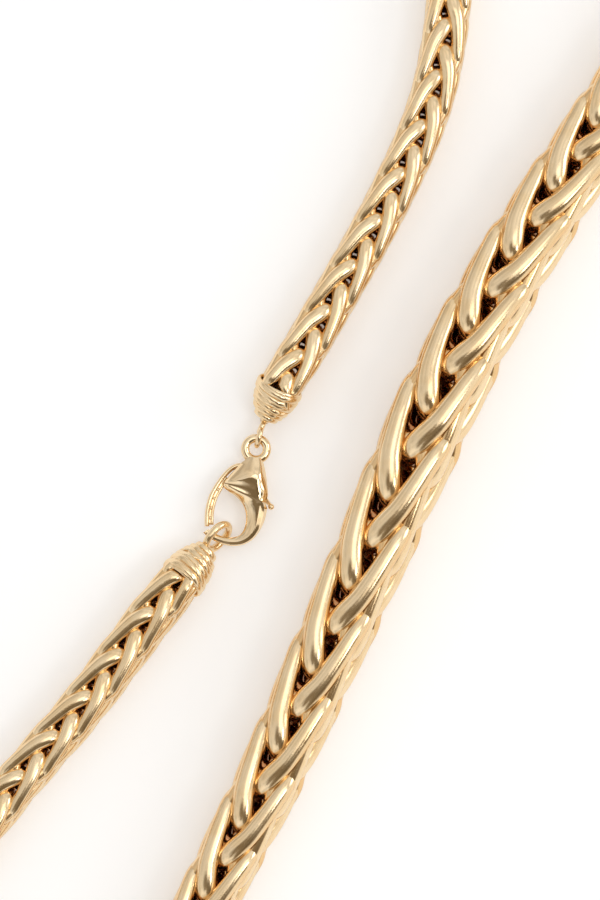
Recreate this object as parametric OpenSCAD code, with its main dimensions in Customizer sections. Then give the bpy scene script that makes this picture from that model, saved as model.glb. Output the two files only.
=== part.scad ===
/* [Chain] */
// Width of the chain at the middle of the necklace
middle_w = 9.2; // [7.5:0.1:10]
// Width of the chain at its two ends
end_w = 4.95; // [4.2:0.05:5.4]
// Length over which each half tapers, from the middle
taper_l = 105; // [80:1:120]
// Distance from one link to the next at the middle
middle_step = 2.91; // [2.8:0.01:3]
// Distance from one link to the next at the ends
end_step = 1.55; // [1.5:0.01:1.6]

/* [End caps] */
// Width of a cap at its mouth
cap_w = 5.9; // [5.7:0.1:6.6]
// Wall of a cap at its mouth
cap_wall = 0.35; // [0.3:0.05:0.5]
// Turns of wire wound round a cap
cap_turns = 5; // [4:1:6]
// Middle radius of the small loop on the clasp side's cap
loop_r = 0.68; // [0.64:0.02:0.8]
// Wire radius of that small loop
loop_wire = 0.24; // [0.2:0.01:0.26]

/* [Rings] */
// Middle radius of the jump ring
jump_r = 1.18; // [1.15:0.01:1.3]
// Wire radius of the jump ring
jump_wire = 0.27; // [0.22:0.01:0.28]
// Middle radius of the oval ring's two round ends
oval_r = 1.4; // [1.35:0.01:1.5]
// Straight stretch between the oval ring's round ends
oval_straight = 0.8; // [0.6:0.05:1]
// Wire radius of the oval ring
oval_wire = 0.45; // [0.38:0.01:0.46]
// Lean of the oval ring from upright
oval_lean = 32; // [25:1:36]

/* [Clasp] */
// Middle radius of the clasp's eye
eye_r = 1.22; // [1.2:0.01:1.35]
// Wire radius of the clasp's eye
eye_wire = 0.46; // [0.4:0.01:0.5]
// Thickness of the clasp's shield at its crown
shield_t = 3.3; // [3:0.1:3.6]
// Thickness of the lever, and of the gate at its root
lever_t = 0.9; // [0.7:0.05:1]
// Gap between the lever and the clasp on each side
lever_gap = 0.15; // [0.12:0.01:0.2]
// Radius of the hinge pin
pin_r = 0.4; // [0.35:0.01:0.45]
// Gap between the hinge pin and the lever's bore
pin_gap = 0.05; // [0.04:0.01:0.08]
// Gap between the closed gate and the hook's tip
gate_gap = 0.15; // [0.12:0.01:0.2]

/* [Hidden] */
gold = [0.86, 0.68, 0.38];
$fn = 48;

// Route of the chain's axis from the ring side's cap to the clasp side's, seen from above
route = [[-14.9, -16.8], [-18.2, -20.8], [-22.7, -26.8], [-27.2, -32.8], [-32.2, -38.3],
         [-36.7, -43.8], [-43.7, -52.8], [-50.2, -63.3], [-53.7, -75.8], [-49.7, -88.3],
         [-38.2, -93.3], [-27.2, -86.8], [-19.7, -72.3], [-12.2, -55.3], [-6.7, -45.3],
         [-2.1, -35.7], [2.5, -25.3], [7.2, -14.9], [11.8, -4.1], [16.9, 6.9], [22.9, 18.2],
         [29.5, 28.7], [35.8, 38.2], [42.8, 49.2], [49.3, 60.7], [52.8, 73.7], [50.3, 86.7],
         [40.8, 92.7], [29.3, 89.7], [22.3, 78.7], [18.8, 65.7], [17.3, 54.7], [16.5, 46.7],
         [14.8, 39.2], [11.7, 32.1], [7.7, 24.3], [3.4, 16.9], [-0.4, 10.3], [-3, 6.4]];
// Roll of the chain about its axis: place on the chain in links from the middle, degrees
roll_table = [[-122, 14], [-84, 8], [-46, -8], [5, -14], [45, -10], [94, 0], [142, 0]];
// Centre of the clasp's eye and of the oval ring, seen from above, and which way each one points
eye_at = [-5.94, -1.18];
clasp_turn = -11.65;
jump_turn = 75.5;
oval_at = [-10.55, -11.66];
oval_turn = 50;

// One link as half a ring, in steps: lean, depth, along, wire radius. The other half mirrors it
link_table = [[-0.14, 0.00, -0.73, 0.28],
              [0.07, 1.43, 0.48, 0.30],
              [-0.67, 1.40, 1.87, 0.32],
              [-0.95, 1.41, 3.09, 0.32],
              [-0.83, 1.43, 4.39, 0.30],
              [-0.49, 0.00, 5.86, 0.26]];
// Width of the chain in steps, and how far a link's end reaches into a cap
link_w = 3.45;
link_in_cap = 0.5;
wire_sides = 5;
link_tail = link_table[len(link_table) - 1][2];
link_head = link_table[0][2];

// Links from the middle to where the modelled links give way to plain tubes
front_range = [-32, 34];
clasp_side_count = 31;
ring_side_count = 26;
// Sides of the plain tubes, and the links passed from one of their rings to the next
tube_sides = 12;
tube_step = 2.5;
tube_gap = 0.2;

// Growth of the step with the width, and the number of links in the taper
step_rate = (middle_step - end_step) / taper_l;
taper_links = ln(middle_step / end_step) / step_rate;
function step_at(t) = abs(t) < taper_links ? middle_step * exp(-step_rate * abs(t)) : end_step;
function place_at(t) = sign(t) * (abs(t) < taper_links
    ? (middle_step - step_at(t)) / step_rate
    : taper_l + (abs(t) - taper_links) * end_step);

// The route as a smooth curve, walked once to give its length and heading at each sample.
// It runs on straight past both ends, into the caps
route_n = len(route);
samples = 12;
function route_point(i) = i < 0 ? 2 * route[0] - route[1]
    : i > route_n - 1 ? 2 * route[route_n - 1] - route[route_n - 2] : route[i];
function spline(i, f) = (pow(1 - f, 3) * route_point(i - 1)
    + (3 * pow(f, 3) - 6 * f * f + 4) * route_point(i)
    + (-3 * pow(f, 3) + 3 * f * f + 3 * f + 1) * route_point(i + 1)
    + pow(f, 3) * route_point(i + 2)) / 6;
curve = [for (i = [0 : route_n - 2], k = [0 : samples - 1]) spline(i, k / samples),
         spline(route_n - 2, 1)];
curve_n = len(curve);
lengths = [for (i = 0, s = 0; i < curve_n;
           s = s + (i + 1 < curve_n ? norm(curve[i + 1] - curve[i]) : 0), i = i + 1) s];
total_l = lengths[curve_n - 1];
function raw_heading(i) = let (a = curve[max(i - 1, 0)], b = curve[min(i + 1, curve_n - 1)])
    atan2(b[1] - a[1], b[0] - a[0]);
function near_heading(i, base) = raw_heading(i) + 360 * round((base - raw_heading(i)) / 360);
headings = [for (i = 0, a = raw_heading(0); i < curve_n;
            i = i + 1, a = i < curve_n ? near_heading(i, a) : a) a];
end_run = 5;
function before(k, a) = curve[0][k] - end_run * a;
function after(k, a) = curve[curve_n - 1][k] + end_run * a;
first_turn = headings[0];
last_turn = headings[curve_n - 1];
x_table = [[-end_run, before(0, cos(first_turn))],
           for (i = [0 : curve_n - 1]) [lengths[i], curve[i][0]],
           [total_l + end_run, after(0, cos(last_turn))]];
y_table = [[-end_run, before(1, sin(first_turn))],
           for (i = [0 : curve_n - 1]) [lengths[i], curve[i][1]],
           [total_l + end_run, after(1, sin(last_turn))]];
turn_table = [for (i = [0 : curve_n - 1]) [lengths[i], headings[i]]];

// The last link ends inside the clasp side's cap, and the first one inside the other cap.
// The longest steps lie some links from the widest place, on the ring side
step_shift = 10;
last_link = floor(taper_links + (total_l / 2 - taper_l) / end_step - link_tail + link_in_cap)
    + step_shift;
middle_at = total_l - place_at(last_link + link_tail - link_in_cap);
end_links = taper_links + (middle_at - taper_l) / end_step;
first_link = -floor(end_links + link_head + link_in_cap);
function width_at(t) = let (far = abs(middle_at + place_at(t) - total_l / 2))
    end_w + (middle_w - end_w) * max(0, 1 - far / taper_l);

// Height of the chain's axis: it rests on the surface and rises to the caps at its ends
corner = 0.46;
rise_links = 8;
cap_clear = 0.2;
cap_axis_z = cap_w / 2 + cap_clear;
function half_height(t) = let (a = abs(lookup(t, roll_table)))
    width_at(t) / 2 * (cos(a) + corner * sin(a));
function end_near(t) = let (left = t > 0 ? last_link + link_tail - link_in_cap - t : t + end_links)
    pow(max(0, 1 - max(0, left) / rise_links), 2);
function axis_height(t) = half_height(t)
    + end_near(t) * max(0, cap_axis_z - half_height(t));

// A point of the chain: t links from the middle, then across and up from the axis
function chain_point(t, across, up) = let (s = middle_at + place_at(t), h = lookup(s, turn_table))
    [lookup(s, x_table) - sin(h) * across, lookup(s, y_table) + cos(h) * across,
     axis_height(t) + up];
function rolled(t, v) = let (a = lookup(t, roll_table))
    chain_point(t, v[0] * cos(a) - v[1] * sin(a), v[0] * sin(a) + v[1] * cos(a));

// Skin over rings that each hold the same number of points, closed into a loop or capped
module skin(rings, closed) {
    n = len(rings);
    m = len(rings[0]);
    last = closed ? n - 1 : n - 2;
    sides = [for (i = [0 : last], k = [0 : m - 1]) let (j = (i + 1) % n, q = (k + 1) % m)
             each [[i * m + k, i * m + q, j * m + q], [i * m + k, j * m + q, j * m + k]]];
    ends = closed ? [] : [[for (k = [m - 1 : -1 : 0]) k], [for (k = [0 : m - 1]) (n - 1) * m + k]];
    polyhedron([for (r = rings) each r], concat(sides, ends), convexity = 6);
}

// The link's rings, each one a section of the wire square to its run
link_rows = len(link_table);
link_rings = 2 * link_rows - 2;
function unit(v) = v / norm(v);
function link_row(k) = let (m = k % link_rings)
    m < link_rows ? link_table[m] : let (r = link_table[link_rings - m]) [r[0], -r[1], r[2], r[3]];
function spot(k) = let (r = link_row(k)) [r[0], r[1], r[2]];
function table_row(k) = k < link_rows ? k : link_rings - k;
function sheet_normal(k) = let (r = table_row(k), a = link_table[max(r - 1, 0)],
    b = link_table[min(r + 1, link_rows - 1)]) unit([b[2] - a[2], 0, a[0] - b[0]]);
function link_ring(k) = let (c = spot(k), along = unit(unit(spot(k + 1) - c)
    + unit(c - spot(k + link_rings - 1))), m = sheet_normal(k),
    side = unit(m - (m * along) * along), rise = cross(side, along))
    [for (q = [0 : wire_sides - 1]) let (w = 360 * q / wire_sides)
     c + link_row(k)[3] * (cos(w) * side + sin(w) * rise)];
link_shape = [for (k = [0 : link_rings - 1]) link_ring(k)];

// One link: the shape turned a quarter for each link and laid along the curve
module link(i) {
    turn = 90 * i;
    skin([for (ring = link_shape) [for (p = ring) let (t = i + p[2], e = width_at(t) / link_w)
          rolled(t, e * [p[0] * cos(turn) - p[1] * sin(turn),
                         p[0] * sin(turn) + p[1] * cos(turn)])]], true);
}

// Plain tube of the chain's rounded square section between two places
module chain_tube(from, to) {
    count = ceil((to - from) / tube_step);
    skin([for (i = [0 : count]) let (t = from + (to - from) * i / count, h = width_at(t) / 2)
          [for (q = [0 : tube_sides - 1]) let (w = 360 * (q + 0.5) / tube_sides,
           r = h / pow(pow(abs(cos(w)), 4) + pow(abs(sin(w)), 4), 0.25))
           rolled(t, [r * sin(w), r * cos(w)])]], false);
}

module front_links() {
    color(gold) for (i = [front_range[0] : front_range[1]]) link(i);
}

module clasp_side_links() {
    color(gold) for (i = [last_link - clasp_side_count + 1 : last_link]) link(i);
}

module ring_side_links() {
    color(gold) for (i = [first_link : first_link + ring_side_count - 1]) link(i);
}

module far_turns() {
    wire = link_table[0][3] + tube_gap;
    color(gold) {
        chain_tube(front_range[1] + link_tail + wire,
                   last_link - clasp_side_count + 1 + link_head - wire);
        chain_tube(first_link + ring_side_count - 1 + link_tail + wire,
                   front_range[0] + link_head - wire);
    }
}

// Stand the children with their +Z along the line between two points
module aim(from, to) {
    d = to - from;
    translate(from) rotate([0, acos(d[2] / norm(d)), atan2(d[1], d[0])]) children();
}

module torus(r, wire) {
    rotate_extrude() translate([r, 0]) circle(wire);
}

// Height of the clasp's middle plane, and where the rings and the caps lie from it
clasp_clear = 0.1;
clasp_z = shield_t / 2 + clasp_clear;
ring_gap = 0.12;
jump_dir = [cos(jump_turn), sin(jump_turn)];
jump_at = eye_at + (eye_r - eye_wire + jump_r - jump_wire - ring_gap) * jump_dir;
loop_at = jump_at + jump_r * jump_dir;
oval_dir = [cos(oval_turn), sin(oval_turn)];
oval_reach = oval_straight / 2 + oval_r;
tip_sink = 0.135;
cap_tip_r = 0.8;
loop_neck_r = 0.36;
loop_neck_l = 0.51;
neck_sink = 0.3;
clasp_side_mouth = concat(curve[curve_n - 1], cap_axis_z);
ring_side_mouth = concat(curve[0], cap_axis_z);
loop_centre = concat(loop_at, clasp_z);
oval_centre = concat(oval_at, clasp_z);

// Outside radius of a cap at a share of the way from its mouth to its tip
cap_bulge = 0.6;
cap_blunt = 0.96;
function cap_radius(f) = cap_tip_r + (cap_w / 2 - cap_tip_r) * pow(cos(90 * f), cap_bulge);

// End cap: a cone wound with wire, hollow from its mouth at Z = 0
bore_share = 0.62;
turn_sink = 0.2;
module wound_cap(length) {
    turn_l = length / cap_turns;
    sink = turn_l * turn_sink;
    rows = [for (i = [0 : cap_turns]) [cap_radius(i / cap_turns * cap_blunt), i * turn_l]];
    bore_l = length * bore_share;
    bore = [for (i = [0 : cap_turns]) let (f = i / cap_turns)
            [cap_radius(f * bore_share) - cap_wall - sink, f * bore_l]];
    rotate_extrude() difference() {
        union() {
            polygon(concat([[0, 0]], [for (r = rows) r - [sink, 0]], [[0, length]]));
            for (i = [0 : cap_turns - 1])
                translate((rows[i] + rows[i + 1]) / 2 - [turn_l / 2, 0])
                    circle(turn_l / 2);
        }
        polygon(concat([[0, -turn_l]], [[bore[0][0], -turn_l]], bore, [[0, bore_l]]));
    }
}

module clasp_side_cap() {
    aim_l = norm(loop_centre - clasp_side_mouth);
    length = aim_l - loop_r - loop_neck_l;
    color(gold) aim(clasp_side_mouth, loop_centre) {
        wound_cap(length);
        translate([0, 0, length - neck_sink])
            cylinder(r = loop_neck_r, h = loop_neck_l + neck_sink);
        translate([0, 0, aim_l]) rotate([0, 90, 0]) torus(loop_r, loop_wire);
    }
}

module jump_ring() {
    color(gold) translate(concat(jump_at, clasp_z)) rotate([90, 0, jump_turn])
        torus(jump_r, jump_wire);
}

module oval_ring() {
    rotate([0, 0, oval_turn]) rotate([90 - oval_lean, 0, 0]) {
        for (side = [-1, 1]) {
            translate([side * oval_straight / 2, 0, 0]) rotate([0, 0, side > 0 ? -90 : 90])
                rotate_extrude(angle = 180) translate([oval_r, 0]) circle(oval_wire);
            translate([-oval_straight / 2, side * oval_r, 0]) rotate([0, 90, 0])
                cylinder(r = oval_wire, h = oval_straight);
        }
    }
}

module ring_side_cap() {
    tip = oval_centre - concat((oval_reach + tip_sink) * oval_dir, 0);
    color(gold) {
        translate(oval_centre) oval_ring();
        aim(ring_side_mouth, tip) wound_cap(norm(tip - ring_side_mouth));
    }
}

// The clasp lies flat with its eye's centre at the origin and its hook towards -Y
pivot = [-0.75, -2.6];
nub_at = [3.16, -6.4];
nub_r = 0.45;
hub_r = 0.85;
nub_arm_w = 0.6;
gate_w = 0.66;
// Gate's middle line from its hub to its tip
gate_line = [[-0.9, -2.2], [-1.95, -2.5], [-2.72, -3.36], [-3.52, -4.97], [-4.05, -6.7],
             [-4.15, -8.6], [-3.85, -10.1]];
gate_end = gate_line[len(gate_line) - 1];
// How far the lever opens, and the room it has past that
open_angle = 9;
open_room = 2;
// Room for the gate in the shield: its reach, and the directions of its two sides
gate_reach = 6;
gate_side_open = 245;
gate_side_shut = 150;
// Shield's corner balls: place and radius
shield_balls = [[0, -1.75, 0.95], [-0.75, -2.6, 1], [-2.6, -4.85, 0.5], [1.35, -5.5, 1.1]];
crown_at = [0.55, -4.2];
ball_sides = 32;
// Hook's middle line and half width, from inside the shield to the tip under the gate's end
hook_tip_w = 0.34;
hook_table = [[0.8, -4.9, 1.3], [1.05, -6.4, 1.5], [1.48, -7.8, 1.25], [1.42, -9.1, 0.98],
              [0.9, -10.3, 0.74], [-0.06, -11.15, 0.56], [-1.25, -11.4, 0.47],
              [-2.5, -11.27, 0.42], [-3.35, -11.06, 0.38],
              [gate_end[0] - 0.15, gate_end[1] - gate_gap - hook_tip_w - 0.14, hook_tip_w]];
hook_sides = 12;
hook_flat = 0.85;

function turned(v, a) = [v[0] * cos(a) - v[1] * sin(a), v[0] * sin(a) + v[1] * cos(a)];
function line_dir(p, i) = unit(p[min(i + 1, len(p) - 1)] - p[max(i - 1, 0)]);
function stroke(p, w) = let (n = len(p)) concat(
    [for (i = [0 : n - 1]) p[i] + turned(line_dir(p, i), 90) * w / 2],
    [for (i = [n - 1 : -1 : 0]) p[i] - turned(line_dir(p, i), 90) * w / 2]);

// Space in the clasp's middle plane that the lever turns in
module lever_slot() {
    slot_half = nub_arm_w / 2 + lever_gap;
    nub_dir = unit(nub_at - pivot);
    far = norm(nub_at - pivot) + hub_r;
    open = open_angle + open_room;
    low = pivot + turned(nub_dir, -90) * slot_half;
    high = pivot + turned(nub_dir, 90 + open) * slot_half;
    corner_turn = (gate_side_open + gate_side_shut) / 2;
    room_r = hub_r + lever_gap;
    linear_extrude(lever_t + 2 * lever_gap, center = true) {
        translate(pivot) circle(room_r);
        polygon([low, low + nub_dir * far, high + turned(nub_dir, open) * far, high]);
        polygon([pivot, pivot + turned([gate_reach, 0], gate_side_open),
                 pivot + turned([gate_reach * sqrt(2), 0], corner_turn),
                 pivot + turned([gate_reach, -room_r], gate_side_shut),
                 pivot + turned([0, -room_r], gate_side_shut)]);
    }
}

module shield() {
    hull() {
        for (b = shield_balls) translate([b[0], b[1], 0]) sphere(b[2], $fn = ball_sides);
        translate(crown_at) sphere(shield_t / 2, $fn = ball_sides);
    }
}

module hook() {
    line = [for (h = hook_table) [h[0], h[1]]];
    n = len(line);
    skin([for (i = [0 : n - 1]) let (side = turned(line_dir(line, i), -90), w = hook_table[i][2])
          [for (q = [0 : hook_sides - 1]) let (a = 360 * q / hook_sides,
           p = line[i] + side * w * cos(a)) [p[0], p[1], w * hook_flat * sin(a)]]], false);
}

module clasp_body() {
    color(gold) translate(concat(eye_at, clasp_z)) rotate(clasp_turn) {
        torus(eye_r, eye_wire);
        difference() {
            union() {
                shield();
                hook();
            }
            lever_slot();
            cylinder(r = eye_r, h = shield_t, center = true);
        }
        translate(concat(pivot, 0))
            cylinder(r = pin_r, h = lever_t + 4 * lever_gap, center = true);
    }
}

module clasp_lever() {
    color(gold) translate(concat(eye_at, clasp_z)) rotate(clasp_turn) difference() {
        union() {
            linear_extrude(lever_t, center = true) {
                translate(pivot) circle(hub_r);
                polygon(stroke(gate_line, gate_w));
                polygon(stroke([pivot, nub_at], nub_arm_w));
            }
            translate(concat(nub_at, 0)) sphere(nub_r);
        }
        translate(concat(pivot, 0))
            cylinder(r = pin_r + pin_gap, h = 2 * lever_t, center = true);
    }
}

front_links();
clasp_side_links();
ring_side_links();
far_turns();
clasp_side_cap();
jump_ring();
clasp_body();
clasp_lever();
ring_side_cap();
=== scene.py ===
"""Graduated wheat chain necklace with wound end caps and a sprung hook clasp."""

import math
from bisect import bisect_right

import bpy
from bpy.props import FloatProperty, FloatVectorProperty, IntProperty, PointerProperty
from mathutils import Matrix, Vector


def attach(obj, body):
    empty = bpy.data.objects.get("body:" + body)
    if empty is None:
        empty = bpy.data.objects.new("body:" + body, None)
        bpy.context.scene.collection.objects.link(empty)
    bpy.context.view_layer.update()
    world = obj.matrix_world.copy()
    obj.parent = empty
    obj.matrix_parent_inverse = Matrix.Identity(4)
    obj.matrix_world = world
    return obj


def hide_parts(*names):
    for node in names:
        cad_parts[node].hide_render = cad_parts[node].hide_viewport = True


bl_info = {
    "name": "Wheat Chain Necklace",
    "version": (1, 0, 0),
    "blender": (4, 5, 0),
    "location": "View3D > Sidebar > Necklace",
    "description": "Builds a graduated wheat chain necklace with its caps, rings and clasp",
    "category": "Add Mesh",
}

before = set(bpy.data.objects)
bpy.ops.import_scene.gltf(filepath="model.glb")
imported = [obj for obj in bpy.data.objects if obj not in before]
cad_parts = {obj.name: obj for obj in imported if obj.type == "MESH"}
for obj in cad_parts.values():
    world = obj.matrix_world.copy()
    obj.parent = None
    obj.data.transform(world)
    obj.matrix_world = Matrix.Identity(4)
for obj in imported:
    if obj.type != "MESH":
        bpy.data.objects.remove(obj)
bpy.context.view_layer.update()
MM = 0.001
RIGHT = Vector((1, 0, 0))
AHEAD = Vector((0, 1, 0))
UP = Vector((0, 0, 1))

# Route of the chain's axis in millimetres, from the ring side's cap to the clasp side's
ROUTE = (
    (-14.9, -16.8), (-18.2, -20.8), (-22.7, -26.8), (-27.2, -32.8), (-32.2, -38.3),
    (-36.7, -43.8), (-43.7, -52.8), (-50.2, -63.3), (-53.7, -75.8), (-49.7, -88.3),
    (-38.2, -93.3), (-27.2, -86.8), (-19.7, -72.3), (-12.2, -55.3), (-6.7, -45.3),
    (-2.1, -35.7), (2.5, -25.3), (7.2, -14.9), (11.8, -4.1), (16.9, 6.9), (22.9, 18.2),
    (29.5, 28.7), (35.8, 38.2), (42.8, 49.2), (49.3, 60.7), (52.8, 73.7), (50.3, 86.7),
    (40.8, 92.7), (29.3, 89.7), (22.3, 78.7), (18.8, 65.7), (17.3, 54.7), (16.5, 46.7),
    (14.8, 39.2), (11.7, 32.1), (7.7, 24.3), (3.4, 16.9), (-0.4, 10.3), (-3, 6.4),
)
# Links by which the longest steps lie nearer the ring side than the widest place
STEP_SHIFT = 10
# Roll of the chain about its axis: links from the longest step, degrees
ROLL = ((-122, 14), (-84, 8), (-46, -9), (5, -17), (45, -12), (94, 0), (142, 0))
SPANS = 12
# Straight run past both ends of the route, and links over which the chain rises to its caps
END_RUN = 5 * MM
RISE_LINKS = 8
# Share of the chain's half width by which a rolled strand stands on its corner
EDGE_CORNER = 0.46
# First and last link at the front, and the links between each cap and the far turns
FRONT_LINKS = (-32, 34)
CLASP_SIDE_LINKS = 31
RING_SIDE_LINKS = 26

# Painted shade: share of the gold's colour left on a rod's outward flanks, and the colour painted
# deep between the links where shade falls
PAINTED_FLANK_SHADE = (0.94, 0.82, 0.66)
PAINTED_RECESS_SHADE = (0.55, 0.27, 0.12)
# Half a link in steps: lean, depth, along, half width and half thickness of the rod
LINK_ROWS = (
    (0.05, 0.00, -0.72, 0.38, 0.34),
    (0.01, 0.62, -0.68, 0.48, 0.40),
    (-0.12, 0.97, -0.34, 0.55, 0.43),
    (-0.35, 1.12, 0.25, 0.55, 0.44),
    (-0.66, 1.16, 1.10, 0.50, 0.43),
    (-0.86, 1.13, 2.15, 0.46, 0.42),
    (-1.01, 1.04, 3.20, 0.43, 0.42),
    (-1.12, 0.86, 4.10, 0.40, 0.42),
    (-1.03, 0.46, 4.80, 0.35, 0.38),
    (-0.84, 0.00, 5.10, 0.32, 0.32),
)
# How much stouter the rods are at the thin ends, and how much wider the links, for their width
STOUT = 1.16
END_GROWTH = 0.04
# Lean and depth of the links whose rods lie in front, and of every other link, on the sides
FRONT_SHARES = (1.0, 0.975)
SIDE_SHARES = (0.8, 0.98)
# A link's width in its own rows, its two ends in steps, and how far the last goes into a cap
LINK_W = 3.1
LINK_HEAD = -0.73
LINK_TAIL = 5.86
LINK_IN_CAP = 0.5
# Rows to each side over which a rod's heading is taken
HEADING_ROWS = 0.6
# Distances from the chain's axis in steps between which its recesses darken with painted shade
RECESS_SHADE_SPAN = (0.66, 1.04)
# How squarely a rod's skin faces outwards where painted shade starts to deepen its colour and where
# it is deepest, then the strength of that painted flank shade
FLANK_SHADE_FACING = (0.8, 0.25)
FLANK_SHADE = 0.35
# Steps along the link between which outwards means away from the axis alone
FLAT_RUN = (0.1, 4.4)
# The chain goes on into each cap: how many links, how deep in steps, and how much it narrows
FILL_LINKS = 5
FILL_DEPTH = 1.5
FILL_START = 3.0
FILL_SHRINK = 0.09

# Heights and places in the lying clasp and its rings, in millimetres, and which way each points
LEVEL = 1.75
EYE_AT = (-5.94, -1.18)
EYE_R = 1.22
EYE_WIRE = 0.46
EYE_SKIN = (1.29, 0.52)
CLASP_TURN = math.radians(-11.65)
JUMP_TURN = math.radians(75.5)
JUMP_R = 1.18
JUMP_WIRE = 0.27
JUMP_SKIN = 0.33
RING_GAP = 0.12
LOOP_R = 0.68
LOOP_WIRE = 0.35
LOOP_NECK = 0.51
# Neck between the cap's tip and its small loop: height over the tip, radius
NECK_ROWS = ((-0.3, 1.0), (0.0, 0.88), (0.25, 0.62), (LOOP_NECK + 0.1, 0.46))
OVAL_AT = (-10.55, -11.66)
OVAL_TURN = math.radians(50)
OVAL_LEAN = math.radians(32)
OVAL_R = 1.4
OVAL_STRAIGHT = 0.8
OVAL_WIRE = 0.46
TIP_SINK = 0.135

# End cap in millimetres: radius at its tip, fullness and bluntness of its outline, and its wall
CAP_CLEAR = 0.2
CAP_TIP = 0.8
CAP_BULGE = 0.6
CAP_BLUNT = 0.96
CAP_WALL = 0.3
CAP_BORE = 0.6
CAP_POINT = 0.02
# Strands of the winding, for the height of one turn: thickness, and half the height
STRAND_THICK = 0.3
STRAND_HALF = 0.53
CROSSING_HALF = 0.26
# Strands that cross the winding: share of the way to the tip, tilt, where it is highest
CROSSINGS = ((0.3, 0.34, 0.9), (0.62, -0.3, 2.4), (0.2, -0.3, 3.9), (0.48, 0.36, 5.2))

# Clasp lying flat in millimetres, its eye's centre at the origin and its hook towards -Y
PIVOT = (-0.75, -2.6)
HUB_R = 0.85
NUB_AT = (3.16, -6.4)
NUB_R = 0.38
ARM_W = 0.6
LEVER_GAP = 0.15
LEVER_HALF = 0.45
GATE_LINE = ((-0.9, -2.2), (-1.95, -2.5), (-2.78, -3.36), (-3.6, -4.97), (-4.12, -6.7),
             (-4.17, -8.6), (-3.87, -10.22))
GATE_SIDES = (math.radians(150), math.radians(245))
OPEN_ROOM = math.radians(11)
# Sections of the shell from the eye to the hook's tip, in millimetres: inner edge, outer edge,
# height of both edges, then how far across and how high each of its two ridges lies
SHELL_ROWS = (
    (-0.90, -1.10, 0.95, -0.95, 0.45, 0.45, 0.85, 0.75, 0.80),
    (-1.45, -1.95, 1.45, -1.95, 0.60, 0.55, 1.20, 0.78, 1.15),
    (-2.05, -3.00, 1.88, -3.00, 0.78, 0.62, 1.60, 0.74, 1.55),
    (-2.60, -4.00, 2.20, -4.00, 0.86, 0.36, 1.45, 0.74, 1.50),
    (-2.98, -4.75, 2.45, -4.80, 0.90, 0.06, 1.02, 0.75, 1.38),
    (-2.72, -5.40, 2.62, -5.60, 0.62, 0.56, 1.18, 0.77, 1.24),
    (-1.20, -6.05, 2.72, -6.40, 0.50, 0.72, 1.10, 0.84, 1.12),
    (-0.20, -6.85, 2.76, -7.20, 0.45, 0.68, 1.05, 0.86, 1.00),
    (0.38, -7.90, 2.72, -8.20, 0.42, 0.62, 1.00, 0.84, 0.92),
    (0.55, -9.10, 2.42, -9.45, 0.40, 0.66, 0.92, 0.86, 0.82),
    (0.30, -10.20, 1.80, -10.65, 0.36, 0.60, 0.80, 0.84, 0.70),
    (-0.50, -10.85, 0.78, -11.52, 0.32, 0.55, 0.66, 0.82, 0.58),
    (-1.45, -11.02, -0.70, -11.95, 0.28, 0.50, 0.54, 0.80, 0.46),
    (-2.40, -10.92, -2.20, -11.85, 0.26, 0.50, 0.46, 0.80, 0.40),
    (-3.20, -10.62, -3.40, -11.50, 0.30, 0.50, 0.46, 0.80, 0.40),
    (-3.64, -10.50, -4.18, -11.04, 0.34, 0.50, 0.46, 0.80, 0.44),
)
# Half width of a softened ridge, bulge of the outer facets, and least share of the inner ridge
RIDGE_SOFT = 0.035
FACET_BULGE = 0.04
RIDGE_LEAST = 0.06
# Shares across the shell at its two rims, and how much of the rim's height its side keeps
RIM_IN = 0.02
RIM_OUT = 0.97
RIM_SIDE = 0.7
# How far the cutters of the lever's room reach, in millimetres
CUT_REACH = 6.0
# Gate: points for each row of its line, its outer tube's radius and flatness
CURVE_ROUNDS = 6
GATE_TUBE = (0.3, 1.45)
# Floor and inner wall of the gate's channel, from one point on: offset, radius, flatness
GATE_STRIPS = ((0.3, 0.3, 0.75), (0.62, 0.19, 1.8))
GATE_FROM = 14
# Rivet heads on the gate: offset, points from one to the next, heights and radii
RIVET_OFFSET = 0.36
RIVET_EVERY = 4
RIVET_ROWS = ((0.1, 0.22), (0.27, 0.2), (0.36, 0.13), (0.4, 0.04))
# Share of the chain's roughness that the clasp and its gate have
CLASP_POLISH = 0.4
GATE_POLISH = 0.7

# Photograph's scale in pixels for each millimetre, its longer side, and the middle of its view
VIEW_SCALE = 8.4
VIEW_SIDE = 900
VIEW_AT = (-0.7, -1.3)
VIEW_HEIGHT = 0.6
# Height over the surface at which the view's scale holds
VIEW_LEVEL = 3 * MM

FLOOR_LEVEL = -0.03 * MM
FLOOR_GLOW = 0.25
# Directions of the two dark screens in the studio, the second screen's drop, and the dim side's
SCREENS = ((0.33, -0.58, 0.74), (-0.19, -0.36, 0.91))
SCREEN_DROP = 0.075
DIM_SIDE = (-0.88, 0.40, 0.25)
# Tones of the studio from open sky to a dark screen, over its dim side, and over its broad bands
SKY_TONES = (
    (0.0, (0.82, 0.82, 0.82)), (0.84, (0.95, 0.95, 0.95)), (0.90, (0.20, 0.16, 0.11)),
    (1.0, (0.16, 0.13, 0.09)),
)
DIM_TONES = ((0.0, (1, 1, 1)), (0.3, (0.97, 0.97, 0.97)), (0.85, (0.78, 0.76, 0.74)))
BAND_TONES = ((0.36, (0.7, 0.68, 0.65)), (0.48, (0.97, 0.97, 0.97)), (0.62, (1.2, 1.2, 1.2)))
# Lamps: name, place, size, power
LAMPS = (
    ("top", (0.10, 0.0, 0.8), 0.4, 0.45),
    ("key", (0.36, -0.2, 0.62), 0.18, 0.5),
    ("fill", (0.6, 0.1, 0.35), 0.3, 0.7),
)


def between(table, x):
    """Value at x in a table of rising pairs, held at both ends."""
    at = bisect_right(table, (x, math.inf))
    if at == 0:
        return table[0][1]
    if at == len(table):
        return table[-1][1]
    (x0, y0), (x1, y1) = table[at - 1], table[at]
    return y0 + (y1 - y0) * (x - x0) / (x1 - x0)


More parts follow.
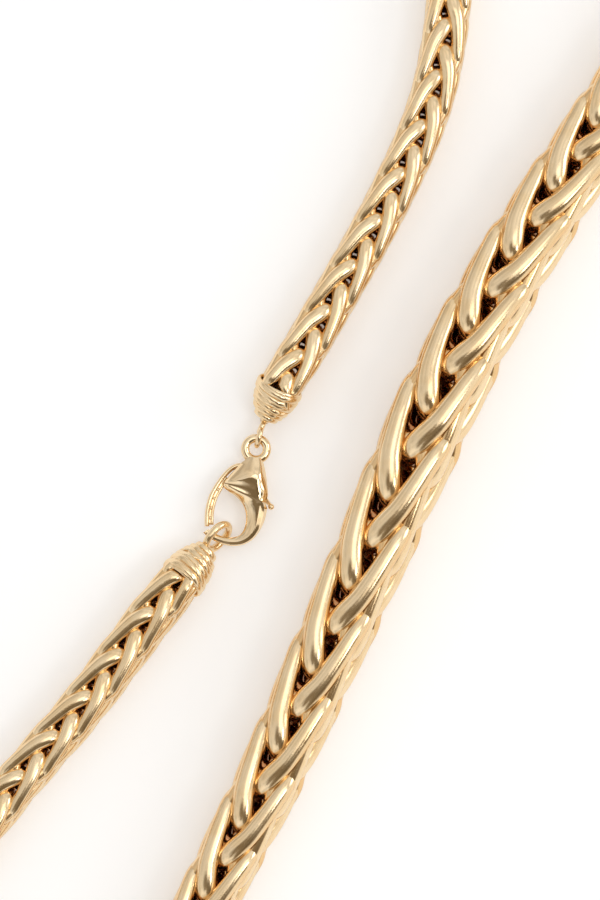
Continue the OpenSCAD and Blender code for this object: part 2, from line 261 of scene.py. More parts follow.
def eased(rows, at, closed):
    """Smooth curve through rows of numbers, at a place counted in rows."""
    n = len(rows)
    i = math.floor(at)
    f = at - i

    def row(k):
        return rows[k % n] if closed else rows[max(0, min(n - 1, k))]

    four = [row(i + k) for k in (-1, 0, 1, 2)]
    return [
        b + 0.5 * f * (c - a + f * (2 * a - 5 * b + 4 * c - d + f * (3 * (b - c) + d - a)))
        for a, b, c, d in zip(*four)
    ]


def flat_way(turn):
    """Level direction at an angle from +X."""
    return Vector((math.cos(turn), math.sin(turn), 0))


def level_point(at):
    """Point at the clasp's middle height over a place in millimetres."""
    return Vector((*at, LEVEL)) * MM


def loop_centre():
    """Centre of the small loop on the clasp side's cap, which holds the jump ring."""
    reach = EYE_R - EYE_WIRE + 2 * JUMP_R - JUMP_WIRE - RING_GAP
    return level_point(EYE_AT) + reach * MM * flat_way(JUMP_TURN)


def oval_tip():
    """End of the oval ring that is soldered to its cap."""
    reach = OVAL_STRAIGHT / 2 + OVAL_R + TIP_SINK
    return level_point(OVAL_AT) - reach * MM * flat_way(OVAL_TURN)


class Course:
    """The line that the chain lies on, with its width, height and roll along it."""

    def __init__(self, sizes):
        self.sizes = sizes
        self.rate = (sizes.middle_step - sizes.end_step) / sizes.taper_length
        self.taper_links = math.log(sizes.middle_step / sizes.end_step) / self.rate
        self.walk()
        length = self.xs[-2][0]
        self.widest = length / 2
        half = (length / 2 - sizes.taper_length) / sizes.end_step
        self.last = math.floor(self.taper_links + half - LINK_TAIL + LINK_IN_CAP) + STEP_SHIFT
        self.last_end = self.last + LINK_TAIL - LINK_IN_CAP
        self.middle = length - self.place(self.last_end)
        self.first_end = self.taper_links + (self.middle - sizes.taper_length) / sizes.end_step
        self.first = -math.floor(self.first_end + LINK_HEAD + LINK_IN_CAP)
        self.cap_z = sizes.cap_width / 2 + CAP_CLEAR * MM
        self.mouths = [Vector((*mouth, self.cap_z)) for mouth in self.mouths]
        self.tips = [oval_tip(), loop_centre()]

    def walk(self):
        """Walk the route once for the place and heading at each length."""
        points = [Vector(p) * MM for p in ROUTE]
        points.insert(0, 2 * points[0] - points[1])
        points.append(2 * points[-1] - points[-2])
        line = []
        for i in range(len(points) - 3):
            for k in range(SPANS + (i == len(points) - 4)):
                f = k / SPANS
                a, b, c, d = points[i:i + 4]
                line.append(
                    ((1 - f) ** 3 * a + (3 * f ** 3 - 6 * f * f + 4) * b
                     + (-3 * f ** 3 + 3 * f * f + 3 * f + 1) * c + f ** 3 * d) / 6
                )
        self.xs, self.ys, self.turns = [], [], []
        gone = 0.0
        turn = 0.0
        for i, p in enumerate(line):
            ahead = line[min(i + 1, len(line) - 1)] - line[max(i - 1, 0)]
            raw = math.atan2(ahead.y, ahead.x)
            turn = raw + math.tau * round((turn - raw) / math.tau) if i else raw
            gone += (p - line[i - 1]).length if i else 0.0
            self.xs.append((gone, p.x))
            self.ys.append((gone, p.y))
            self.turns.append((gone, turn))
        self.mouths = (line[0], line[-1])
        for table, swing in ((self.xs, math.cos), (self.ys, math.sin)):
            start = table[0][1] - END_RUN * swing(self.turns[0][1])
            stop = table[-1][1] + END_RUN * swing(self.turns[-1][1])
            table.insert(0, (-END_RUN, start))
            table.append((gone + END_RUN, stop))

    def step(self, t):
        """Distance from one link to the next."""
        if abs(t) < self.taper_links:
            return self.sizes.middle_step * math.exp(-self.rate * abs(t))
        return self.sizes.end_step

    def place(self, t):
        """Length along the chain from its longest step to link t."""
        if abs(t) < self.taper_links:
            run = (self.sizes.middle_step - self.step(t)) / self.rate
        else:
            run = self.sizes.taper_length + (abs(t) - self.taper_links) * self.sizes.end_step
        return math.copysign(run, t)

    def past(self, t):
        """Links from a cap's mouth into the cap, below zero outside it."""
        return t - self.last_end if t > 0 else -self.first_end - t

    def share(self, t):
        """How near link t is to the widest place, from 0 in the thin ends to 1."""
        far = abs(self.middle + self.place(t) - self.widest)
        return max(0.0, 1 - far / self.sizes.taper_length)

    def width(self, t):
        """Width of the chain at link t, a little less where it enters a cap."""
        s = self.sizes
        near = (self.past(t) + FILL_START) / (FILL_START + FILL_DEPTH)
        near = max(0.0, min(1.0, near))
        shrink = 1 - FILL_SHRINK * near * near * (3 - 2 * near)
        return shrink * (s.end_width + (s.middle_width - s.end_width) * self.share(t))

    def height(self, t):
        """Height of the axis: on the surface, rising to the caps at both ends."""
        roll = math.radians(abs(between(ROLL, t)))
        half = self.width(t) / 2 * (math.cos(roll) + EDGE_CORNER * math.sin(roll))
        near = max(0.0, 1 - max(0.0, -self.past(t)) / RISE_LINKS) ** 2
        return half + near * max(0.0, self.cap_z - half)

    def rolled(self, t, x, y):
        """Point of the chain at link t, across and up from the axis before the roll."""
        roll = math.radians(between(ROLL, t))
        s = self.middle + self.place(t)
        turn = between(self.turns, s)
        across = (x * math.cos(roll) - y * math.sin(roll)) * Vector(
            (-math.sin(turn), math.cos(turn), 0))
        up = (x * math.sin(roll) + y * math.cos(roll)) * UP
        past = self.past(t)
        if past > 0:
            deep = FILL_DEPTH * (1 - math.exp(-past / FILL_DEPTH)) * self.sizes.end_step
            mouth = self.mouths[t > 0]
            way = (self.tips[t > 0] - mouth).normalized()
            return mouth + deep * way + across + up
        return Vector((between(self.xs, s), between(self.ys, s), self.height(t))) + across + up


def new_piece(name, points, faces, smooth=True):
    """Mesh object at the origin from points and faces."""
    mesh = bpy.data.meshes.new(name)
    mesh.from_pydata([tuple(p) for p in points], [], faces)
    mesh.update()
    mesh.polygons.foreach_set("use_smooth", [smooth] * len(mesh.polygons))
    piece = bpy.data.objects.new(name, mesh)
    bpy.context.scene.collection.objects.link(piece)
    return piece


def skin(rings, closed, start=0):
    """Faces over rings of equally many points, looped round or capped at both ends."""
    n, m = len(rings), len(rings[0])
    faces = []
    for i in range(n if closed else n - 1):
        j = (i + 1) % n
        for k in range(m):
            q = (k + 1) % m
            faces.append((start + i * m + k, start + i * m + q, start + j * m + q, start + j * m + k))
    if not closed:
        faces.append(tuple(start + k for k in range(m - 1, -1, -1)))
        faces.append(tuple(start + (n - 1) * m + k for k in range(m)))
    return faces


class Shape:
    """Points and faces gathered for one piece."""

    def __init__(self):
        self.points = []
        self.faces = []
        # Painted shade that each point takes, kept as a point attribute
        self.recess = []

    def add(self, rings, closed):
        """Add one skinned body of rings."""
        self.faces += skin(rings, closed, len(self.points))
        self.points += [p for ring in rings for p in ring]

    def tube(self, line, radius, closed=False, sides=16, flat=1.0, up=UP):
        """Add a round or flattened tube along a line, with one radius or one for each point."""
        n = len(line)
        rings = []
        side = None
        for i, p in enumerate(line):
            if closed:
                ahead = line[(i + 1) % n] - line[i - 1]
            else:
                ahead = line[min(i + 1, n - 1)] - line[max(i - 1, 0)]
            ahead.normalize()
            side = up.cross(ahead) if side is None else side - side.dot(ahead) * ahead
            side.normalize()
            rise = ahead.cross(side)
            r = radius[i] if isinstance(radius, (list, tuple)) else radius
            rings.append([
                p + r * (math.cos(a) * side + flat * math.sin(a) * rise) for a in angles(sides)
            ])
        self.add(rings, closed)

    def build(self, name, matrix=None):
        """Make the piece, moved by a matrix first, with the painted shade that each point takes."""
        points = [matrix @ Vector(p) for p in self.points] if matrix else self.points
        piece = new_piece(name, points, self.faces)
        if self.recess:
            layer = piece.data.attributes.new("recess", "FLOAT", "POINT")
            layer.data.foreach_set("value", self.recess)
        return piece


def angles(count):
    """Angles evenly round a full turn."""
    return [math.tau * k / count for k in range(count)]


def arc(centre, radius, first, second, count, start, sweep):
    """Points round an arc in the plane of two directions, both ends counted."""
    return [
        centre + radius * (math.cos(a) * first + math.sin(a) * second)
        for a in (start + sweep * k / (count - 1) for k in range(count))
    ]


def circle(centre, radius, first, second, count=40):
    """Points round a full circle in the plane of two directions."""
    return arc(centre, radius, first, second, count + 1, 0, math.tau)[:-1]


def link_form(rounds, sides, stout, lean, depth):
    """One link's rings in steps, as lean, depth and along, each point with the painted shade that it
    takes.
    """
    half = [[lean * x, depth * y, z, stout * w, stout * h] for x, y, z, w, h in LINK_ROWS]
    back = [[r[0], -r[1], *r[2:]] for r in half[-2:0:-1]]
    rows = half + back
    n = len(rows)
    count = n * rounds
    fine = [eased(rows, k / rounds, True) for k in range(count)]
    line = [Vector(r[:3]) for r in fine]
    rings = []
    for k, (row, p) in enumerate(zip(fine, line)):
        ahead = (line[(k + 1) % count] - line[k - 1]).normalized()
        place = k / rounds
        place = min(place, n - place)
        low = eased(half, place - HEADING_ROWS, False)
        high = eased(half, place + HEADING_ROWS, False)
        side = Vector((high[2] - low[2], 0, low[0] - high[0]))
        side = (side - side.dot(ahead) * ahead).normalized()
        rise = side.cross(ahead)
        out = Vector((0, p.y, p.z - max(FLAT_RUN[0], min(FLAT_RUN[1], p.z)))).normalized()
        ring = []
        for a in angles(sides):
            turned = math.cos(a) * side + math.sin(a) * rise
            point = p + math.cos(a) * row[3] * side + math.sin(a) * row[4] * rise
            # Painted shade: darker where the skin faces away from the axis, and darker still deep
            # inside the chain near its axis
            outward_shade = faded(turned.dot(out), *FLANK_SHADE_FACING)
            inner_shade = faded(max(abs(point.x), abs(point.y)), *reversed(RECESS_SHADE_SPAN))
            ring.append((*point, max(inner_shade, FLANK_SHADE * outward_shade)))
        rings.append(ring)
    return rings


def faded(x, start, stop):
    """Share from 0 at one value to 1 at another, eased at both."""
    f = max(0.0, min(1.0, (x - start) / (stop - start)))
    return f * f * (3 - 2 * f)


def link_stretch(name, course, forms, first, last):
    """The links from first to last as one piece."""
    shape = Shape()
    for i in range(first, last + 1):
        turn = (i % 4) * math.pi / 2
        ct, st = round(math.cos(turn)), round(math.sin(turn))
        rings = []
        for thick_ring, thin_ring in zip(*forms[i % 2]):
            placed = []
            for thick, thin in zip(thick_ring, thin_ring):
                share = course.share(i + thick[2])
                x, y, z, shade = (b + (a - b) * share for a, b in zip(thick, thin))
                # Painted shade for this point, read by the chain's material
                shape.recess.append(shade)
                grow = course.width(i + z) / LINK_W * (1 + END_GROWTH * (1 - share))
                across, up = grow * (x * ct - y * st), grow * (x * st + y * ct)
                placed.append(course.rolled(i + z, across, up))
            rings.append(placed)
        shape.add(rings, True)
    return shape.build(name)


class ChainSizes(bpy.types.PropertyGroup):
    """Sizes of the chain."""

    middle_width: FloatProperty(
        name="Middle Width", description="Width of the chain at its middle",
        default=9.2 * MM, min=7 * MM, max=10 * MM, unit="LENGTH")
    end_width: FloatProperty(
        name="End Width", description="Width of the chain at its two ends",
        default=4.95 * MM, min=4 * MM, max=6 * MM, unit="LENGTH")
    taper_length: FloatProperty(
        name="Taper Length", description="Length over which each half tapers",
        default=105 * MM, min=80 * MM, max=120 * MM, unit="LENGTH")
    middle_step: FloatProperty(
        name="Middle Step", description="Distance from one link to the next where it is longest",
        default=2.91 * MM, min=2.8 * MM, max=3 * MM, unit="LENGTH")
    end_step: FloatProperty(
        name="End Step", description="Distance from one link to the next at the ends",
        default=1.55 * MM, min=1.5 * MM, max=1.6 * MM, unit="LENGTH")
    cap_width: FloatProperty(
        name="Cap Width", description="Width of an end cap at its mouth",
        default=5.9 * MM, min=5.7 * MM, max=6.6 * MM, unit="LENGTH")
    cap_turns: IntProperty(
        name="Cap Turns", description="Turns of wire wound round each cap",
        default=6, min=4, max=9)


class GoldColours(bpy.types.PropertyGroup):
    """Colours and polish of the metal and the surface under it."""

    gold: FloatVectorProperty(
        name="Gold", description="Colour of the links",
        default=(0.90, 0.70, 0.44), subtype="COLOR", size=3, min=0, max=1)
    clasp_gold: FloatVectorProperty(
        name="Clasp Gold", description="Colour of the clasp and rings",
        default=(0.90, 0.71, 0.46), subtype="COLOR", size=3, min=0, max=1)
    polish: FloatProperty(
        name="Polish", description="Roughness of the polished metal",
        default=0.19, min=0.02, max=0.6, subtype="FACTOR")
    surface: FloatVectorProperty(
        name="Surface", description="Colour of the pale surface below",
        default=(0.94, 0.94, 0.94), subtype="COLOR", size=3, min=0, max=1)


class Wire:
    """A socket of a material or world, with arithmetic that adds Math nodes."""

    def __init__(self, tree, socket=None):
        self.tree = tree
        self.socket = socket

    def node(self, kind, settings=None, out=0, **inputs):
        """Add a node: settings first, then the values or wires of its sockets."""
        made = self.tree.nodes.new(kind)
        for key, value in (settings or {}).items():
            if key == "stops":
                ramp = made.color_ramp
                while len(ramp.elements) < len(value):
                    ramp.elements.new(0.5)
                for stop, (place, colour) in zip(ramp.elements, value):
                    stop.position = place
                    stop.color = (*colour, 1)
            else:
                setattr(made, key, value)
        for key, value in inputs.items():
            name = int(key[1:]) if key[0] == "_" else key.replace("_", " ")
            if isinstance(value, Wire):
                self.tree.links.new(value.socket, made.inputs[name])
            else:
                made.inputs[name].default_value = value
        return Wire(self.tree, made.outputs[out] if made.outputs else None)

    def ramp(self, stops):
        """A colour ramp over this value, from pairs of place and colour."""
        return self.node("ShaderNodeValToRGB", {"stops": stops}, Fac=self)

    def tinted(self, other):
        """This colour times another."""
        return self.node("ShaderNodeMix", {"data_type": "RGBA", "blend_type": "MULTIPLY"}, out=2,
                         _0=1.0, _6=self, _7=other)

    def towards(self, direction):
        """How far this direction points along another."""
        return self.node("ShaderNodeVectorMath", {"operation": "DOT_PRODUCT"}, out="Value",
                         _0=self, _1=direction)

    def maths(self, operation, first, second):
        """A Math node on two values."""
        return self.node("ShaderNodeMath", {"operation": operation}, _0=first, _1=second)

    def __add__(self, other):
        return self.maths("ADD", self, other)

    def __radd__(self, other):
        return self.maths("ADD", other, self)

    def __sub__(self, other):
        return self.maths("SUBTRACT", self, other)

    def __rmul__(self, other):
        return self.maths("MULTIPLY", other, self)


def blank_tree(owner):
    """An owner's node tree with nothing in it."""
    owner.use_nodes = True
    owner.node_tree.nodes.clear()
    return Wire(owner.node_tree)


def polished_gold(name, colour, polish, ripple, with_painted_shade=False):
    """Polished gold with faint smudges, fine wear and a slight ripple of the drawn wire, and, where
    asked, painted shade on the rods' flanks and between the links.
    """
    gold = bpy.data.materials.new(name)
    tree = blank_tree(gold)
    place = tree.node("ShaderNodeTexCoord", out="Object")
    broad = tree.node("ShaderNodeTexNoise", Vector=place, Scale=420.0, Detail=3.0)
    fine = tree.node("ShaderNodeTexNoise", Vector=place, Scale=4200.0, Detail=2.0)
    deep = [c * k for c, k in zip(colour, (0.97, 0.92, 0.84))]
    tint = broad.ramp(((0.35, deep), (0.6, colour)))
    # Painted shade: the colour darkens towards the flank and recess tones by each point's painted
    # shade
    if with_painted_shade:
        recess = tree.node("ShaderNodeAttribute", {"attribute_name": "recess"}, out="Fac")
        dark = [d / c for d, c in zip(PAINTED_RECESS_SHADE, colour)]
        tint = tint.tinted(
            recess.ramp(((0.0, (1, 1, 1)), (FLANK_SHADE, PAINTED_FLANK_SHADE), (1.0, dark))))
    rough = polish + 0.10 * (broad - 0.5) + 0.05 * (fine - 0.5)
    bump = tree.node(
        "ShaderNodeBump", Height=broad + 0.12 * fine, Strength=ripple, Distance=0.00012)
    shade = tree.node(
        "ShaderNodeBsdfPrincipled", Base_Color=tint, Metallic=1.0, Roughness=rough, Normal=bump)
    tree.node("ShaderNodeOutputMaterial", Surface=shade)
    return gold


def dress(piece, body, node, material):
    """Ride on a body, stand for a node and take a finish."""
    piece.data.materials.append(material)
    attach(piece, body)
    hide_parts(node)


class NECKLACE_OT_chain(bpy.types.Operator):
    """Lay the graduated wheat chain, link by link, round its whole loop"""

    bl_idname = "necklace.chain"
    bl_label = "Wheat Chain"

    def execute(self, context):
        sizes = context.scene.chain_sizes
        colours = context.scene.gold_colours
        course = Course(sizes)
        forms = [
            [link_form(4, 12, stout, *shares) for stout in (1.0, STOUT)]
            for shares in (FRONT_SHARES, SIDE_SHARES)
        ]
        # Chain gold with painted shade between the links and on the rods' flanks
        gold = polished_gold("Chain Gold", colours.gold, colours.polish, 0.25, True)
        clasp_first = course.last - CLASP_SIDE_LINKS + 1
        ring_last = course.first + RING_SIDE_LINKS - 1
        front_first, front_last = FRONT_LINKS
        stretches = (
            ("ring_side_chain", course.first - FILL_LINKS, ring_last, "ring_side_links"),
            ("far_chain_below", ring_last + 1, front_first - 1, "far_turns"),
            ("front_chain", front_first, front_last, "front_links"),
            ("far_chain_above", front_last + 1, clasp_first - 1, "far_turns"),
            ("clasp_side_chain", clasp_first, course.last + FILL_LINKS, "clasp_side_links"),
        )
        for name, first, last, node in stretches:
            piece = link_stretch(name, course, forms, first, last)
            dress(piece, "necklace", node, gold)
        return {"FINISHED"}


def cap_radius(f, width):
    """Outside radius of a cap at a share of the way to its tip."""
    swing = math.cos(math.pi / 2 * max(0.0, min(f, 1.0)) * CAP_BLUNT)
    return CAP_TIP * MM + (width / 2 - CAP_TIP * MM) * swing ** CAP_BULGE


def strand(matrix, length, width, middle, half, thick, tilt, phase):
    """Rings of one flat strand of wire round a cap, leaning to one side."""
    rings = []
    for a in angles(64):
        z = middle + tilt * cap_radius(middle / length, width) * math.sin(a + phase)
        z = max(half * 0.6, min(length - half * 0.6, z))
        r = cap_radius(z / length, width) - thick
        rings.append([
            matrix @ Vector((
                (r + thick * math.cos(b)) * math.cos(a), (r + thick * math.cos(b)) * math.sin(a),
                z + half * math.sin(b)))
            for b in angles(12)
        ])
    return rings


def wound_cap(shape, matrix, length, sizes):
    """Barrel with a hollow mouth, wound with flat slanting strands and a few that cross."""
    count = sizes.cap_turns
    turn_l = length / count
    thick = turn_l * STRAND_THICK
    steps = 12
    outer = [(cap_radius(k / steps, sizes.cap_width) - thick, length * k / steps)
             for k in range(steps + 1)]
    bore = [(cap_radius(k / steps * CAP_BORE, sizes.cap_width) - CAP_WALL * MM - thick * 0.6,
             length * CAP_BORE * k / steps) for k in range(steps, -1, -1)]
    rows = [(CAP_POINT * MM, length * CAP_BORE), *bore, *outer, (CAP_POINT * MM, length)]
    shape.add([
        [matrix @ Vector((r * math.cos(a), r * math.sin(a), z)) for a in angles(48)]
        for r, z in rows
    ], False)
    for k in range(count):
        tilt = 0.12 + 0.07 * math.sin(2.3 * k)
        shape.add(strand(matrix, length, sizes.cap_width, (k + 0.5) * turn_l,
                         turn_l * STRAND_HALF, thick, tilt, 0.5 + 0.3 * k), True)
    for share, tilt, phase in CROSSINGS:
        shape.add(strand(matrix, length, sizes.cap_width, length * share,
                         turn_l * CROSSING_HALF, thick * 0.9, tilt, phase), True)


def towards(start, end):
    """Matrix that stands +Z along the line between two points."""
    turn = (end - start).to_track_quat("Z", "Y").to_matrix().to_4x4()
    return Matrix.Translation(start) @ turn


class NECKLACE_OT_caps(bpy.types.Operator):
    """Make both wound end caps, with the small loop and the oval ring"""

    bl_idname = "necklace.caps"
    bl_label = "End Caps"

    def execute(self, context):
        sizes = context.scene.chain_sizes
        colours = context.scene.gold_colours
        course = Course(sizes)
        gold = polished_gold("Wound Gold", colours.gold, colours.polish, 0.35)

        mouth, loop = course.mouths[1], course.tips[1]
        matrix = towards(mouth, loop)
        reach = (loop - mouth).length
        length = reach - (LOOP_R + LOOP_NECK) * MM
        shape = Shape()
        wound_cap(shape, matrix, length, sizes)
        shape.tube([matrix @ Vector((0, 0, length + z * MM)) for z, r in NECK_ROWS],
                   [r * MM for z, r in NECK_ROWS], up=RIGHT)
        axes = matrix.to_3x3()
        side, along = axes @ AHEAD, axes @ UP
        shape.tube(circle(loop, LOOP_R * MM, along, side), LOOP_WIRE * MM, True,
                   up=side.cross(along))
        dress(shape.build("clasp_side_cap_wound"), "necklace", "clasp_side_cap", gold)

        mouth, tip = course.mouths[0], course.tips[0]
        way = flat_way(OVAL_TURN)
        rise = math.cos(OVAL_LEAN) * UP + math.sin(OVAL_LEAN) * UP.cross(way)
        centre = level_point(OVAL_AT)
        shape = Shape()
        wound_cap(shape, towards(mouth, tip), (tip - mouth).length, sizes)
        line = []
        for end in (1, -1):
            middle = centre + end * OVAL_STRAIGHT / 2 * MM * way
            line += arc(middle, OVAL_R * MM, way, rise, 24, -end * math.pi / 2, math.pi)
        shape.tube(line, OVAL_WIRE * MM, True, 20, up=way.cross(rise))
        dress(shape.build("ring_side_cap_wound"), "necklace", "ring_side_cap", gold)
        return {"FINISHED"}


def cut(piece, cutters):
    """Take the cutters' shapes out of a piece for good."""
    for cutter in cutters:
        change = piece.modifiers.new("cut", "BOOLEAN")
        change.operation = "DIFFERENCE"
        change.solver = "EXACT"
        change.object = cutter
    graph = bpy.context.evaluated_depsgraph_get()
    mesh = bpy.data.meshes.new_from_object(piece.evaluated_get(graph))
    piece.modifiers.clear()
    piece.data = mesh
    for cutter in cutters:
        bpy.data.objects.remove(cutter)


def slab(outline, half):
    """Flat cutter with an outline in the clasp's plane, in millimetres."""
    n = len(outline)
    points = [(x, y, z) for z in (-half, half) for x, y in outline]
    faces = [tuple(range(n - 1, -1, -1)), tuple(range(n, 2 * n))]
    faces += [(k, (k + 1) % n, n + (k + 1) % n, n + k) for k in range(n)]
    return new_piece("slot", points, faces, False)


def clasp_matrix():
    """Matrix from the clasp's own plane, in millimetres, to the frame."""
    place = Matrix.Translation(level_point(EYE_AT))
    return place @ Matrix.Rotation(CLASP_TURN, 4, "Z") @ Matrix.Scale(MM, 4)


def from_pivot(turn, along, aside):
    """Place in the clasp's plane, along and beside a direction from the hinge."""
    return (PIVOT[0] + along * math.cos(turn) - aside * math.sin(turn),
            PIVOT[1] + along * math.sin(turn) + aside * math.cos(turn))


class NECKLACE_OT_clasp(bpy.types.Operator):
    """Make the clasp's faceted shell with its hook and eye"""

    bl_idname = "necklace.clasp"
    bl_label = "Clasp Shell"

    def execute(self, context):
        colours = context.scene.gold_colours
        gold = polished_gold("Clasp Gold", colours.clasp_gold, colours.polish * CLASP_POLISH, 0.1)
        shape = Shape()
        rings = []
        for k in range((len(SHELL_ROWS) - 1) * CURVE_ROUNDS + 1):
            ix, iy, ox, oy, edge, a, az, b, bz = eased(SHELL_ROWS, k / CURVE_ROUNDS, False)
            inner, outer = Vector((ix, iy, 0)), Vector((ox, oy, 0))
            a = max(a, RIDGE_LEAST)
            across = (outer - inner).length
            far, near = b + RIDGE_SOFT, a - RIDGE_SOFT
            profile = (
                (1.0, edge * RIM_SIDE), (RIM_OUT, edge),
                ((RIM_OUT + far) / 2, (edge + bz) / 2 + FACET_BULGE * (RIM_OUT - far) * across),
                (far, bz), (b - RIDGE_SOFT, bz), (a + RIDGE_SOFT, az), (near, az),
                ((RIM_IN + near) / 2, (edge + az) / 2 + FACET_BULGE * (near - RIM_IN) * across),
                (RIM_IN, edge), (0.0, edge * RIM_SIDE),
            )
            half = [inner.lerp(outer, v) + h * UP for v, h in profile]
            rings.append(half + [Vector((p.x, p.y, -p.z)) for p in reversed(half)])
        shape.add(rings, False)
        shell = shape.build("clasp_shell")

        reach = CUT_REACH
        room = HUB_R + LEVER_GAP
        arm = ARM_W / 2 + LEVER_GAP
        shut, wide = GATE_SIDES
        nub_turn = math.atan2(NUB_AT[1] - PIVOT[1], NUB_AT[0] - PIVOT[0])
        outlines = (
            [from_pivot(a, room, 0) for a in angles(32)],
            [from_pivot(nub_turn, 0, -arm), from_pivot(nub_turn, reach, -arm),
             from_pivot(nub_turn + OPEN_ROOM, reach, arm), from_pivot(nub_turn + OPEN_ROOM, 0, arm)],
            [PIVOT, from_pivot(shut, 0, -room), from_pivot(shut, reach, -room),
             from_pivot((shut + wide) / 2, reach * 1.4, 0), from_pivot(wide, reach, 0)],
        )
        cut(shell, [slab(outline, LEVER_HALF + LEVER_GAP) for outline in outlines])
        shell.data.set_sharp_from_angle(angle=math.radians(50))
        eye = Shape()
        eye.tube(circle(Vector(), EYE_SKIN[0], RIGHT, AHEAD, 48), EYE_SKIN[1], True, 20)
        ring = eye.build("eye")
        with context.temp_override(active_object=shell, selected_editable_objects=[shell, ring]):
            bpy.ops.object.join()
        shell.data.transform(clasp_matrix())
        dress(shell, "necklace", "clasp_body", gold)

        reach = EYE_R - EYE_WIRE + JUMP_R - JUMP_WIRE - RING_GAP
        way = flat_way(JUMP_TURN)
        jump = Shape()
        jump.tube(circle(level_point(EYE_AT) + reach * MM * way, JUMP_R * MM, way, UP),
                  JUMP_SKIN * MM, True, up=way.cross(UP))
        dress(jump.build("jump_ring_round"), "necklace", "jump_ring", gold)
        return {"FINISHED"}


class NECKLACE_OT_gate(bpy.types.Operator):
    """Make the sprung gate, a channel of thin metal, with its hub, arm and nub"""

    bl_idname = "necklace.gate"
    bl_label = "Clasp Gate"

    def execute(self, context):
        colours = context.scene.gold_colours
        gold = polished_gold("Gate Gold", colours.clasp_gold, colours.polish * GATE_POLISH, 0.2)
        shape = Shape()
        line = [Vector((x, y, 0)) for x, y in GATE_LINE]
        count = (len(line) - 1) * CURVE_ROUNDS + 1
        fine = [Vector(eased(line, k / CURVE_ROUNDS, False)) for k in range(count)]
        shape.tube(fine, GATE_TUBE[0], flat=GATE_TUBE[1], sides=20)
        channel = fine[GATE_FROM:-1]
        sides = [UP.cross((after - before).normalized())
                 for before, after in zip(fine[GATE_FROM - 1:-2], fine[GATE_FROM + 1:])]
        for offset, radius, flat in GATE_STRIPS:
            shape.tube([here + offset * side for here, side in zip(channel, sides)], radius,
                       flat=flat, sides=14)
        middle = [here + RIVET_OFFSET * side for here, side in zip(channel, sides)]
        for k in range(2, len(middle) - 1, RIVET_EVERY):
            shape.tube([middle[k] + z * UP for z, r in RIVET_ROWS], [r for z, r in RIVET_ROWS],
                       up=AHEAD, sides=12)
        pivot, nub = Vector((*PIVOT, 0)), Vector((*NUB_AT, 0))
        shape.tube([pivot, pivot.lerp(nub, 0.5), nub], ARM_W * 0.4, flat=1.3)
        ball = [math.pi * (k + 0.5) / 8 for k in range(8)]
        shape.tube([nub - NUB_R * math.cos(a) * UP for a in ball],
                   [NUB_R * math.sin(a) for a in ball], up=AHEAD)
        shape.tube([pivot + z * UP for z in (-LEVER_HALF, 0.9 * -LEVER_HALF, 0.9 * LEVER_HALF,
                                            LEVER_HALF)],
                   [0.9 * HUB_R, HUB_R, HUB_R, 0.9 * HUB_R], up=AHEAD, sides=28)
        piece = shape.build("clasp_gate", clasp_matrix())
        dress(piece, "lever", "clasp_lever", gold)
        return {"FINISHED"}


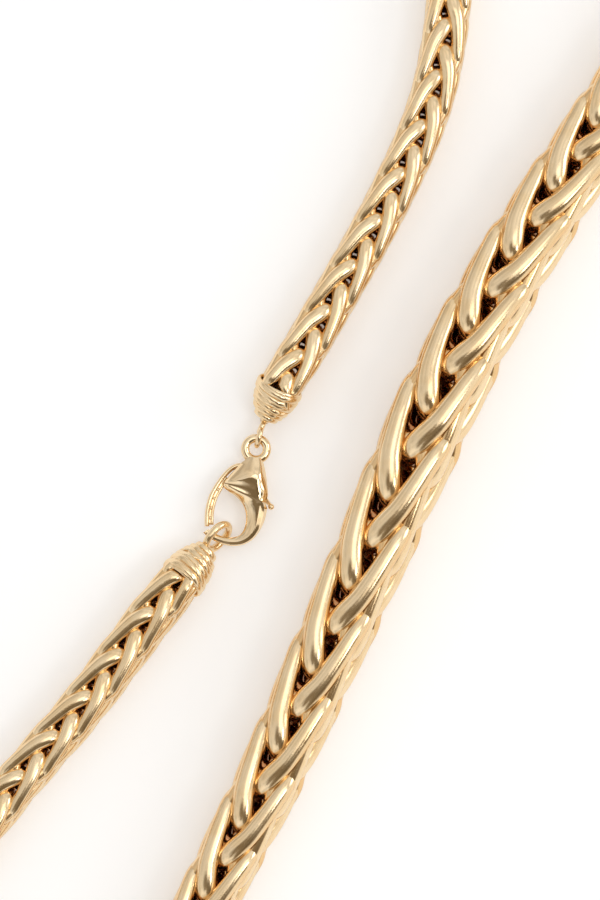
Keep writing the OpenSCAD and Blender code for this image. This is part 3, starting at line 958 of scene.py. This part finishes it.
class NECKLACE_OT_stage(bpy.types.Operator):
    """Set the pale surface, the soft studio light and the camera above"""

    bl_idname = "necklace.stage"
    bl_label = "Stage"

    def execute(self, context):
        colours = context.scene.gold_colours
        low = FLOOR_LEVEL
        floor = new_piece(
            "surface", [(-1, -1, low), (1, -1, low), (1, 1, low), (-1, 1, low)], [(0, 1, 2, 3)])
        paper = bpy.data.materials.new("Pale Surface")
        tree = blank_tree(paper)
        place = tree.node("ShaderNodeTexCoord", out="Object")
        grain = tree.node("ShaderNodeTexNoise", Vector=place, Scale=900.0, Detail=2.0)
        soft = [c * 0.99 for c in colours.surface]
        tone = grain.ramp(((0.3, soft), (0.7, tuple(colours.surface))))
        shade = tree.node(
            "ShaderNodeBsdfPrincipled", Base_Color=tone, Roughness=0.9, Emission_Color=tone,
            Emission_Strength=FLOOR_GLOW)
        tree.node("ShaderNodeOutputMaterial", Surface=shade)
        floor.data.materials.append(paper)

        world = bpy.data.worlds.new("Studio")
        context.scene.world = world
        tree = blank_tree(world)
        way = tree.node("ShaderNodeTexCoord", out="Generated")
        drift = tree.node("ShaderNodeTexNoise", Vector=way, Scale=3.5, Detail=3.0)
        first, second = [way.towards(direction) for direction in SCREENS]
        screen = tree.maths("MAXIMUM", first, second - SCREEN_DROP)
        swell = tree.node("ShaderNodeTexNoise", Vector=way, Scale=2.3, Detail=2.0)
        sky = (screen + 0.2 * (drift - 0.5)).ramp(SKY_TONES)
        light = sky.tinted(way.towards(DIM_SIDE).ramp(DIM_TONES)).tinted(swell.ramp(BAND_TONES))
        glow = tree.node("ShaderNodeBackground", Color=light, Strength=1.0)
        tree.node("ShaderNodeOutputWorld", Surface=glow)

        for name, at, size, power in LAMPS:
            light = bpy.data.lights.new(name, "AREA")
            light.size = size
            light.energy = power
            lamp = bpy.data.objects.new(name, light)
            lamp.location = at
            lamp.rotation_euler = Vector(at).to_track_quat("Z", "Y").to_euler()
            lamp.visible_camera = False
            context.scene.collection.objects.link(lamp)
        context.scene.view_settings.view_transform = "Standard"

        view = bpy.data.cameras.new("camera")
        view.sensor_width = 36
        view.lens = view.sensor_width * (VIEW_HEIGHT - VIEW_LEVEL) / (VIEW_SIDE / VIEW_SCALE * MM)
        view.clip_end = 10
        camera = bpy.data.objects.new("camera", view)
        camera.location = (VIEW_AT[0] * MM, VIEW_AT[1] * MM, VIEW_HEIGHT)
        context.scene.collection.objects.link(camera)
        context.scene.camera = camera
        return {"FINISHED"}


class NECKLACE_PT_panel(bpy.types.Panel):
    """Sizes, colours and pieces of the necklace"""

    bl_label = "Necklace"
    bl_idname = "NECKLACE_PT_panel"
    bl_space_type = "VIEW_3D"
    bl_region_type = "UI"
    bl_category = "Necklace"

    def draw(self, context):
        layout = self.layout
        for group in (context.scene.chain_sizes, context.scene.gold_colours):
            box = layout.box()
            for key in group.__annotations__:
                box.prop(group, key)
        for operator in OPERATORS:
            layout.operator(operator.bl_idname)


OPERATORS = (
    NECKLACE_OT_chain, NECKLACE_OT_caps, NECKLACE_OT_clasp, NECKLACE_OT_gate, NECKLACE_OT_stage)
CLASSES = (ChainSizes, GoldColours, *OPERATORS, NECKLACE_PT_panel)


def register():
    """Add the classes and the scene's settings."""
    for cls in CLASSES:
        bpy.utils.register_class(cls)
    bpy.types.Scene.chain_sizes = PointerProperty(type=ChainSizes)
    bpy.types.Scene.gold_colours = PointerProperty(type=GoldColours)


def unregister():
    """Take the settings and the classes away again."""
    del bpy.types.Scene.gold_colours
    del bpy.types.Scene.chain_sizes
    for cls in reversed(CLASSES):
        bpy.utils.unregister_class(cls)


def main():
    """Build every piece."""
    register()
    for operator in OPERATORS:
        group, name = operator.bl_idname.split(".")
        getattr(getattr(bpy.ops, group), name)()


if __name__ == "__main__":
    main()
